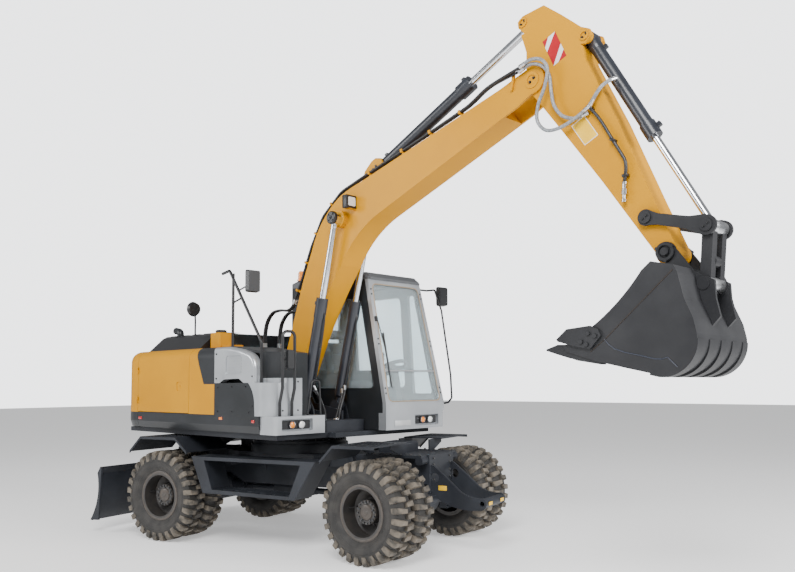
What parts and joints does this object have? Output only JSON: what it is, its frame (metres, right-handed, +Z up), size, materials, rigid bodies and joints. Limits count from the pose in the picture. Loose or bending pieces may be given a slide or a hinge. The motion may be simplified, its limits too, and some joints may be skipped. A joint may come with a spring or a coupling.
{
  "type": "wheeled excavator",
  "caption": "Wheeled excavator on twin tyres with a one-piece boom, arm, bucket, rear dozer blade, steps and a cab left of the boom.",
  "frame": {"origin": "on the ground under the slew axis", "axes": "+X forward along the upper structure and its boom, +Y to the left of the cab side, +Z up; the undercarriage stands turned 14 degrees to the left under it"},
  "size_m": [7.9492, 3.4269, 5.332],
  "materials": {
    "chassis_paint": "worn paint",
    "chrome_rod": "plain",
    "tyre": "plain",
    "rim_paint": "worn paint",
    "cylinder_paint": "worn paint",
    "dark_paint": "worn paint",
    "body_yellow": "worn paint",
    "cast_grey": "plain",
    "black_plastic": "plain",
    "silver_paint": "worn paint",
    "glass": "plain",
    "seat_fabric": "plain",
    "lamp": "plain",
    "amber": "plain",
    "hood_black": "plain",
    "bucket_paint": "worn paint"
  },
  "bodies": {
    "undercarriage": {"chassis_frame": "chassis_paint", "slew_ring": "chassis_paint", "rear_axle": "chassis_paint", "front_axle": "chassis_paint", "drive_line": "chassis_paint", "fenders": "chassis_paint", "side_steps": "chassis_paint", "front_bracket": "chassis_paint"},
    "knuckle_right": {"knuckle_right": "chassis_paint"},
    "knuckle_left": {"knuckle_left": "chassis_paint"},
    "steering_rod": {"steering_rod": "chrome_rod"},
    "wheel_front_right": {"tyres_front_right": "tyre", "rims_front_right": "rim_paint"},
    "wheel_front_left": {"tyres_front_left": "tyre", "rims_front_left": "rim_paint"},
    "wheel_rear_right": {"tyres_rear_right": "tyre", "rims_rear_right": "rim_paint"},
    "wheel_rear_left": {"tyres_rear_left": "tyre", "rims_rear_left": "rim_paint"},
    "dozer_blade": {"dozer_blade": "chassis_paint"},
    "blade_barrels": {"blade_cylinder_barrel": "cylinder_paint"},
    "blade_rods": {"blade_cylinder_rod": "chrome_rod"},
    "upper": {"platform_frame": "chassis_paint", "skirts": "dark_paint", "counterweight": "body_yellow", "engine_block": "cast_grey", "house_frame": "chassis_paint", "tank": "black_plastic", "tank_panel": "body_yellow", "cheek": "silver_paint", "lower_panel": "dark_paint", "step_box": "silver_paint", "front_boxes": "silver_paint", "cab_shell": "dark_paint", "cab_front": "silver_paint", "cab_glass": "glass", "cab_roof": "dark_paint", "seat": "seat_fabric", "console": "black_plastic", "handrails": "black_plastic", "cab_mirror": "black_plastic", "lamps": "lamp", "beacon": "amber"},
    "engine_hood": {"engine_hood": "hood_black", "exhaust": "dark_paint"},
    "engine_door_right": {"engine_door_right": "body_yellow"},
    "engine_door_left": {"engine_door_left": "body_yellow"},
    "cab_door": {"cab_door": "dark_paint", "door_glass": "glass"},
    "boom": {"boom": "body_yellow"},
    "boom_barrels": {"boom_cylinder_barrel": "cylinder_paint"},
    "boom_rods": {"boom_cylinder_rod": "chrome_rod"},
    "arm": {"arm": "body_yellow"},
    "arm_barrel": {"arm_cylinder_barrel": "cylinder_paint"},
    "arm_rod": {"arm_cylinder_rod": "chrome_rod"},
    "bucket_barrel": {"bucket_cylinder_barrel": "cylinder_paint"},
    "bucket_rod": {"bucket_cylinder_rod": "chrome_rod"},
    "rocker": {"rocker_links": "bucket_paint"},
    "h_link": {"h_link": "bucket_paint"},
    "bucket": {"bucket": "bucket_paint"}
  },
  "joints": [
    {"name": "slew", "type": "hinge", "parent": "undercarriage", "child": "upper", "pos_m": [0, 0, 1.18], "axis": [0, 0, 1], "continuous": true},
    {"name": "steer_right", "type": "hinge", "parent": "undercarriage", "child": "knuckle_right", "pos_m": [1.8392, -0.30409, 0.5275], "axis": [0, 0, 1], "range_deg": [-21.3, 38.7]},
    {"name": "steer_left", "type": "hinge", "parent": "undercarriage", "child": "knuckle_left", "pos_m": [1.48115, 1.13195, 0.5275], "axis": [0, 0, 1], "range_deg": [-21.3, 38.7]},
    {"name": "steering_rod_slide", "type": "slide", "parent": "undercarriage", "child": "steering_rod", "axis": [-0.2419, 0.9703, 0], "range_m": [-0.0545, 0.0985]},
    {"name": "spin_front_right", "type": "hinge", "parent": "knuckle_right", "child": "wheel_front_right", "pos_m": [1.87347, -0.6735, 0.5275], "axis": [-0.0924, 0.9957, 0], "continuous": true},
    {"name": "spin_front_left", "type": "hinge", "parent": "knuckle_left", "child": "wheel_front_left", "pos_m": [1.44688, 1.50136, 0.5275], "axis": [-0.0924, 0.9957, 0], "continuous": true},
    {"name": "spin_rear_right", "type": "hinge", "parent": "undercarriage", "child": "wheel_rear_right", "pos_m": [-0.85774, -1.35887, 0.5275], "axis": [-0.2419, 0.9703, 0], "continuous": true},
    {"name": "spin_rear_left", "type": "hinge", "parent": "undercarriage", "child": "wheel_rear_left", "pos_m": [-1.39529, 0.79713, 0.5275], "axis": [-0.2419, 0.9703, 0], "continuous": true},
    {"name": "blade_lift", "type": "hinge", "parent": "undercarriage", "child": "dozer_blade", "pos_m": [-1.55247, -0.38708, 0.64], "axis": [-0.2419, 0.9703, 0], "range_deg": [-18, 10]},
    {"name": "blade_barrel_swing", "type": "hinge", "parent": "undercarriage", "child": "blade_barrels", "pos_m": [-1.77564, -0.44272, 0.9], "axis": [-0.2419, 0.9703, 0], "range_deg": [-14, 8]},
    {"name": "blade_rod_slide", "type": "slide", "parent": "blade_barrels", "child": "blade_rods", "axis": [-0.4199, -0.1047, -0.9015], "range_m": [-0.06, 0.105]},
    {"name": "engine_hood_open", "type": "hinge", "parent": "upper", "child": "engine_hood", "pos_m": [-1.785, 0, 2.2803], "axis": [0, -1, 0], "range_deg": [0, 55]},
    {"name": "engine_door_right_open", "type": "hinge", "parent": "upper", "child": "engine_door_right", "pos_m": [-1.768, -1.252, 1.88], "axis": [0, 0, -1], "range_deg": [0, 90]},
    {"name": "engine_door_left_open", "type": "hinge", "parent": "upper", "child": "engine_door_left", "pos_m": [-1.768, 1.252, 1.88], "axis": [0, 0, 1], "range_deg": [0, 90]},
    {"name": "cab_door_open", "type": "hinge", "parent": "upper", "child": "cab_door", "pos_m": [-0.243, 1.231, 2.2], "axis": [0, 0, 1], "range_deg": [0, 95]},
    {"name": "boom_lift", "type": "hinge", "parent": "upper", "child": "boom", "pos_m": [0.065, -0.17, 1.664], "axis": [0, -1, 0], "range_deg": [-60, 8]},
    {"name": "boom_barrel_swing", "type": "hinge", "parent": "upper", "child": "boom_barrels", "pos_m": [0.6, -0.17, 1.56], "axis": [0, -1, 0], "range_deg": [-68.5, 9.5]},
    {"name": "boom_rod_slide", "type": "slide", "parent": "boom_barrels", "child": "boom_rods", "axis": [0.2417, 0, 0.9704], "range_m": [-0.47, 0.07]},
    {"name": "arm_crowd", "type": "hinge", "parent": "boom", "child": "arm", "pos_m": [3.726, -0.17, 4.644], "axis": [0, 1, 0], "range_deg": [-65, 55]},
    {"name": "arm_barrel_swing", "type": "hinge", "parent": "boom", "child": "arm_barrel", "pos_m": [1.59, -0.17, 4.24], "axis": [0, 1, 0], "range_deg": [-3.3, 2.8]},
    {"name": "arm_rod_slide", "type": "slide", "parent": "arm_barrel", "child": "arm_rod", "axis": [0.8978, 0, 0.4405], "range_m": [-0.59, 0.5]},
    {"name": "bucket_curl", "type": "hinge", "parent": "arm", "child": "bucket", "pos_m": [4.967, -0.17, 2.876], "axis": [0, 1, 0], "range_deg": [-130, 20]},
    {"name": "rocker_swing", "type": "hinge", "parent": "arm", "child": "rocker", "pos_m": [4.807, -0.17, 3.181], "axis": [0, 1, 0], "range_deg": [-104.5, 16.5]},
    {"name": "h_link_swing", "type": "hinge", "parent": "bucket", "child": "h_link", "pos_m": [5.264, -0.17, 2.597], "axis": [0, 1, 0], "range_deg": [-15.5, 99.5]},
    {"name": "bucket_barrel_swing", "type": "hinge", "parent": "arm", "child": "bucket_barrel", "pos_m": [4.266, -0.17, 4.913], "axis": [0, 1, 0], "range_deg": [-1, 1]},
    {"name": "bucket_rod_slide", "type": "slide", "parent": "bucket_barrel", "child": "bucket_rod", "axis": [0.4869, 0, -0.8734], "range_m": [-0.84, 0.13]}
  ],
  "couplings": [
    {"joint": "steer_left", "follows": "steer_right", "ratio": 1},
    {"joint": "steering_rod_slide", "follows": "steer_right", "m_per_rad": 0.143},
    {"joint": "blade_barrel_swing", "follows": "blade_lift", "ratio": 0.7374},
    {"joint": "blade_rod_slide", "follows": "blade_lift", "m_per_rad": -0.3121},
    {"joint": "boom_barrel_swing", "follows": "boom_lift", "ratio": 1.1314},
    {"joint": "boom_rod_slide", "follows": "boom_lift", "m_per_rad": 0.4427},
    {"joint": "arm_barrel_swing", "follows": "arm_crowd", "ratio": 0.0473},
    {"joint": "arm_rod_slide", "follows": "arm_crowd", "m_per_rad": 0.5151},
    {"joint": "rocker_swing", "follows": "bucket_curl", "ratio": 0.8},
    {"joint": "h_link_swing", "follows": "bucket_curl", "ratio": -0.76},
    {"joint": "bucket_barrel_swing", "follows": "bucket_curl", "ratio": 0.005},
    {"joint": "bucket_rod_slide", "follows": "bucket_curl", "m_per_rad": 0.365}
  ]
}
